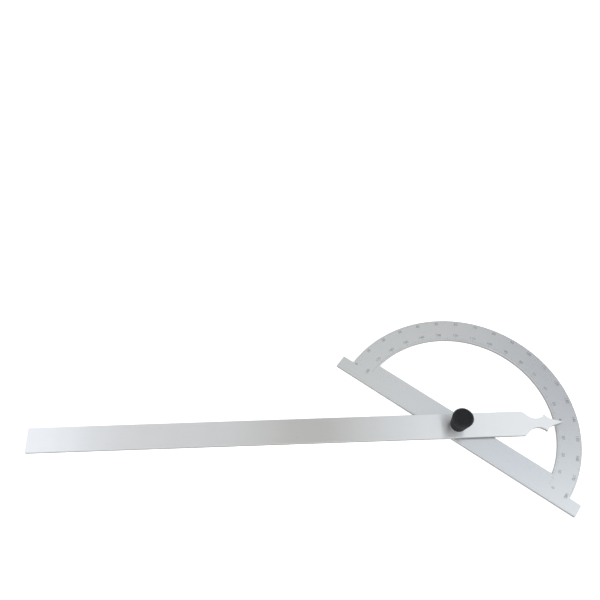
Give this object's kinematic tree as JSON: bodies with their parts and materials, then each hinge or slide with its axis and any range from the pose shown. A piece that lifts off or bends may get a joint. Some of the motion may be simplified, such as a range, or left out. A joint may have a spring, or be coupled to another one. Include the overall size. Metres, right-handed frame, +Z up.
{
  "type": "protractor",
  "caption": "Flat steel protractor: a half-ring head with a base bar and ears, and a long pointed blade that swings on a central stud and is locked by a knurled knob.",
  "frame": {"origin": "on the pivot axis, in the underside of the half-ring head", "axes": "+X along the base bar, +Y from the base bar towards the half ring, +Z up through head, blade and knob"},
  "size_m": [0.2714, 0.2266, 0.016],
  "materials": {
    "head_steel": "satin, fine brushed",
    "blade_steel": "satin, brushed across the bar",
    "stud_steel": "turned",
    "film_plastic": "smooth, natural colour",
    "washer_steel": "bright plated",
    "spring_steel": "plain spring steel",
    "insert_brass": "turned",
    "knob_plastic": "black, moulded, straight knurl"
  },
  "bodies": {
    "head": {"arc_plate": "head_steel", "pivot_stud": "stud_steel", "bearing_washer": "film_plastic"},
    "blade": {"blade": "blade_steel", "plain_washer": "washer_steel"},
    "knob_lift": {"spring_washer": "spring_steel"},
    "knob": {"knob": "knob_plastic", "knob_insert": "insert_brass"}
  },
  "joints": [
    {"name": "blade_swing", "type": "hinge", "parent": "head", "child": "blade", "pos_m": [0, 0, 0.0031], "axis": [0, 0, 1], "range_deg": [-38.4, 141.6]},
    {"name": "knob_rise", "type": "slide", "parent": "head", "child": "knob_lift", "axis": [0, 0, 1], "range_m": [0, 0.0014]},
    {"name": "knob_turn", "type": "hinge", "parent": "knob_lift", "child": "knob", "pos_m": [0, 0, 0.0105], "axis": [0, 0, 1], "range_deg": [0, 720]}
  ],
  "couplings": [
    {"joint": "knob_turn", "follows": "knob_rise", "rad_per_m": 8976}
  ]
}
